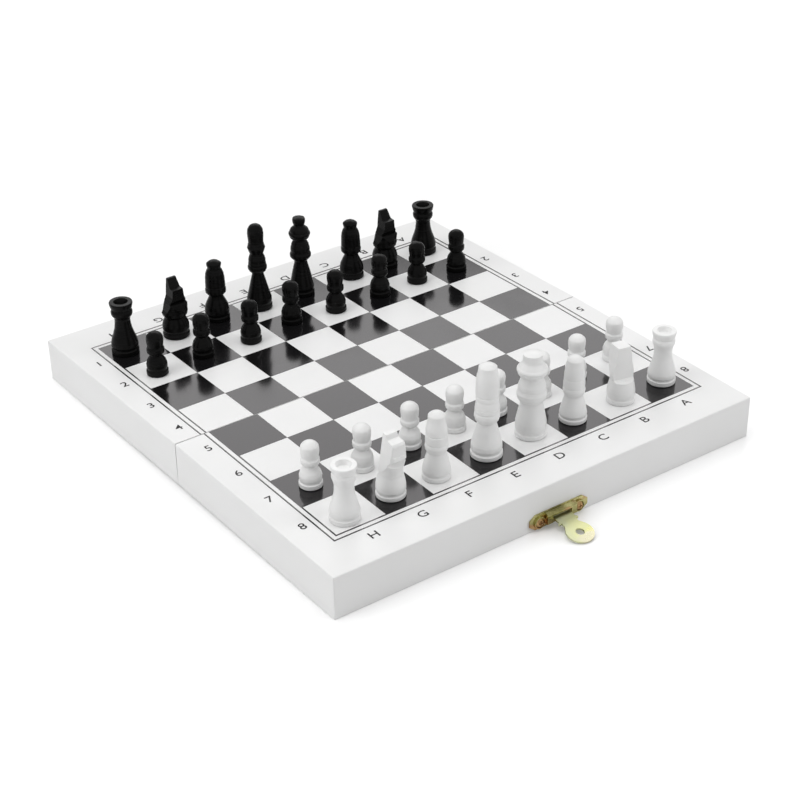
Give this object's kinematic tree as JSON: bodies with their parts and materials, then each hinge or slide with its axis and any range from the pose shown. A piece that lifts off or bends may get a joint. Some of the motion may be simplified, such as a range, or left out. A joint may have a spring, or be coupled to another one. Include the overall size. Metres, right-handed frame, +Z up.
{
  "type": "folding chess box",
  "caption": "White folding wooden chess box laid open as a chessboard, with turned black and white chessmen set out and a box catch in front.",
  "frame": {"origin": "on the table, at the middle of the bounding box", "axes": "+X to the right along the seam as seen from the catch, +Y from the catch to the rear half, +Z up from the table"},
  "size_m": [0.2324, 0.2719, 0.0673],
  "materials": {
    "white_paint": "white satin lacquer on wood",
    "printed_ink": "glossy black print",
    "white_wood": "white satin paint on turned wood",
    "black_wood": "black satin paint on turned wood",
    "hinge_brass": "brass-plated sheet steel",
    "pin_steel": "plated steel wire and small screws",
    "catch_metal": "yellow chromate on sheet steel",
    "catch_screw_metal": "copper-toned plated screws"
  },
  "bodies": {
    "front_half": {"playing_panel_front": "white_paint", "catch_rail": "white_paint", "seam_rail_front": "white_paint", "side_rail_front_left": "white_paint", "side_rail_front_right": "white_paint", "printed_squares_front": "printed_ink", "hinge_leaf_front_left": "hinge_brass", "hinge_leaf_front_right": "hinge_brass", "hinge_pin_left": "pin_steel", "hinge_pin_right": "pin_steel", "hinge_screws_front": "pin_steel", "catch_plate": "catch_metal", "catch_screws": "catch_screw_metal"},
    "rear_half": {"playing_panel_rear": "white_paint", "back_rail": "white_paint", "seam_rail_rear": "white_paint", "side_rail_rear_left": "white_paint", "side_rail_rear_right": "white_paint", "printed_squares_rear": "printed_ink", "hinge_leaf_rear_left": "hinge_brass", "hinge_leaf_rear_right": "hinge_brass", "hinge_screws_rear": "pin_steel", "keeper_plate": "catch_metal", "keeper_screws": "catch_screw_metal"},
    "catch_flap": {"catch_flap": "catch_metal"},
    "white_rook_h8": {"white_rook_h8": "white_wood"},
    "white_knight_g8": {"white_knight_g8": "white_wood"},
    "white_bishop_f8": {"white_bishop_f8": "white_wood"},
    "white_king_e8": {"white_king_e8": "white_wood"},
    "white_queen_d8": {"white_queen_d8": "white_wood"},
    "white_bishop_c8": {"white_bishop_c8": "white_wood"},
    "white_knight_b8": {"white_knight_b8": "white_wood"},
    "white_rook_a8": {"white_rook_a8": "white_wood"},
    "white_pawn_h7": {"white_pawn_h7": "white_wood"},
    "white_pawn_g7": {"white_pawn_g7": "white_wood"},
    "white_pawn_f7": {"white_pawn_f7": "white_wood"},
    "white_pawn_e7": {"white_pawn_e7": "white_wood"},
    "white_pawn_d7": {"white_pawn_d7": "white_wood"},
    "white_pawn_c7": {"white_pawn_c7": "white_wood"},
    "white_pawn_b7": {"white_pawn_b7": "white_wood"},
    "white_pawn_a7": {"white_pawn_a7": "white_wood"},
    "black_rook_h1": {"black_rook_h1": "black_wood"},
    "black_knight_g1": {"black_knight_g1": "black_wood"},
    "black_bishop_f1": {"black_bishop_f1": "black_wood"},
    "black_king_e1": {"black_king_e1": "black_wood"},
    "black_queen_d1": {"black_queen_d1": "black_wood"},
    "black_bishop_c1": {"black_bishop_c1": "black_wood"},
    "black_knight_b1": {"black_knight_b1": "black_wood"},
    "black_rook_a1": {"black_rook_a1": "black_wood"},
    "black_pawn_h2": {"black_pawn_h2": "black_wood"},
    "black_pawn_g2": {"black_pawn_g2": "black_wood"},
    "black_pawn_f2": {"black_pawn_f2": "black_wood"},
    "black_pawn_e2": {"black_pawn_e2": "black_wood"},
    "black_pawn_d2": {"black_pawn_d2": "black_wood"},
    "black_pawn_c2": {"black_pawn_c2": "black_wood"},
    "black_pawn_b2": {"black_pawn_b2": "black_wood"},
    "black_pawn_a2": {"black_pawn_a2": "black_wood"}
  },
  "joints": [
    {"name": "board_fold", "type": "hinge", "parent": "front_half", "child": "rear_half", "pos_m": [0, 0.00901, 0.0013], "axis": [-1, 0, 0], "range_deg": [-1.28, 178.7]},
    {"name": "catch_flap_swing", "type": "hinge", "parent": "front_half", "child": "catch_flap", "pos_m": [0.001, -0.11663, 0.00463], "axis": [1, 0, 0], "range_deg": [-47, 78]},
    {"name": "lift_white_rook_h8", "type": "slide", "parent": "front_half", "child": "white_rook_h8", "axis": [0, -0.0113, 0.9999], "range_m": [0, 0.06]},
    {"name": "lift_white_knight_g8", "type": "slide", "parent": "front_half", "child": "white_knight_g8", "axis": [0, -0.0113, 0.9999], "range_m": [0, 0.06]},
    {"name": "lift_white_bishop_f8", "type": "slide", "parent": "front_half", "child": "white_bishop_f8", "axis": [0, -0.0113, 0.9999], "range_m": [0, 0.06]},
    {"name": "lift_white_king_e8", "type": "slide", "parent": "front_half", "child": "white_king_e8", "axis": [0, -0.0113, 0.9999], "range_m": [0, 0.06]},
    {"name": "lift_white_queen_d8", "type": "slide", "parent": "front_half", "child": "white_queen_d8", "axis": [0, -0.0113, 0.9999], "range_m": [0, 0.06]},
    {"name": "lift_white_bishop_c8", "type": "slide", "parent": "front_half", "child": "white_bishop_c8", "axis": [0, -0.0113, 0.9999], "range_m": [0, 0.06]},
    {"name": "lift_white_knight_b8", "type": "slide", "parent": "front_half", "child": "white_knight_b8", "axis": [0, -0.0113, 0.9999], "range_m": [0, 0.06]},
    {"name": "lift_white_rook_a8", "type": "slide", "parent": "front_half", "child": "white_rook_a8", "axis": [0, -0.0113, 0.9999], "range_m": [0, 0.06]},
    {"name": "lift_white_pawn_h7", "type": "slide", "parent": "front_half", "child": "white_pawn_h7", "axis": [0, -0.0113, 0.9999], "range_m": [0, 0.06]},
    {"name": "lift_white_pawn_g7", "type": "slide", "parent": "front_half", "child": "white_pawn_g7", "axis": [0, -0.0113, 0.9999], "range_m": [0, 0.06]},
    {"name": "lift_white_pawn_f7", "type": "slide", "parent": "front_half", "child": "white_pawn_f7", "axis": [0, -0.0113, 0.9999], "range_m": [0, 0.06]},
    {"name": "lift_white_pawn_e7", "type": "slide", "parent": "front_half", "child": "white_pawn_e7", "axis": [0, -0.0113, 0.9999], "range_m": [0, 0.06]},
    {"name": "lift_white_pawn_d7", "type": "slide", "parent": "front_half", "child": "white_pawn_d7", "axis": [0, -0.0113, 0.9999], "range_m": [0, 0.06]},
    {"name": "lift_white_pawn_c7", "type": "slide", "parent": "front_half", "child": "white_pawn_c7", "axis": [0, -0.0113, 0.9999], "range_m": [0, 0.06]},
    {"name": "lift_white_pawn_b7", "type": "slide", "parent": "front_half", "child": "white_pawn_b7", "axis": [0, -0.0113, 0.9999], "range_m": [0, 0.06]},
    {"name": "lift_white_pawn_a7", "type": "slide", "parent": "front_half", "child": "white_pawn_a7", "axis": [0, -0.0113, 0.9999], "range_m": [0, 0.06]},
    {"name": "lift_black_rook_h1", "type": "slide", "parent": "rear_half", "child": "black_rook_h1", "axis": [0, 0.0113, 0.9999], "range_m": [0, 0.06]},
    {"name": "lift_black_knight_g1", "type": "slide", "parent": "rear_half", "child": "black_knight_g1", "axis": [0, 0.0113, 0.9999], "range_m": [0, 0.06]},
    {"name": "lift_black_bishop_f1", "type": "slide", "parent": "rear_half", "child": "black_bishop_f1", "axis": [0, 0.0113, 0.9999], "range_m": [0, 0.06]},
    {"name": "lift_black_king_e1", "type": "slide", "parent": "rear_half", "child": "black_king_e1", "axis": [0, 0.0113, 0.9999], "range_m": [0, 0.06]},
    {"name": "lift_black_queen_d1", "type": "slide", "parent": "rear_half", "child": "black_queen_d1", "axis": [0, 0.0113, 0.9999], "range_m": [0, 0.06]},
    {"name": "lift_black_bishop_c1", "type": "slide", "parent": "rear_half", "child": "black_bishop_c1", "axis": [0, 0.0113, 0.9999], "range_m": [0, 0.06]},
    {"name": "lift_black_knight_b1", "type": "slide", "parent": "rear_half", "child": "black_knight_b1", "axis": [0, 0.0113, 0.9999], "range_m": [0, 0.06]},
    {"name": "lift_black_rook_a1", "type": "slide", "parent": "rear_half", "child": "black_rook_a1", "axis": [0, 0.0113, 0.9999], "range_m": [0, 0.06]},
    {"name": "lift_black_pawn_h2", "type": "slide", "parent": "rear_half", "child": "black_pawn_h2", "axis": [0, 0.0113, 0.9999], "range_m": [0, 0.06]},
    {"name": "lift_black_pawn_g2", "type": "slide", "parent": "rear_half", "child": "black_pawn_g2", "axis": [0, 0.0113, 0.9999], "range_m": [0, 0.06]},
    {"name": "lift_black_pawn_f2", "type": "slide", "parent": "rear_half", "child": "black_pawn_f2", "axis": [0, 0.0113, 0.9999], "range_m": [0, 0.06]},
    {"name": "lift_black_pawn_e2", "type": "slide", "parent": "rear_half", "child": "black_pawn_e2", "axis": [0, 0.0113, 0.9999], "range_m": [0, 0.06]},
    {"name": "lift_black_pawn_d2", "type": "slide", "parent": "rear_half", "child": "black_pawn_d2", "axis": [0, 0.0113, 0.9999], "range_m": [0, 0.06]},
    {"name": "lift_black_pawn_c2", "type": "slide", "parent": "rear_half", "child": "black_pawn_c2", "axis": [0, 0.0113, 0.9999], "range_m": [0, 0.06]},
    {"name": "lift_black_pawn_b2", "type": "slide", "parent": "rear_half", "child": "black_pawn_b2", "axis": [0, 0.0113, 0.9999], "range_m": [0, 0.06]},
    {"name": "lift_black_pawn_a2", "type": "slide", "parent": "rear_half", "child": "black_pawn_a2", "axis": [0, 0.0113, 0.9999], "range_m": [0, 0.06]}
  ]
}
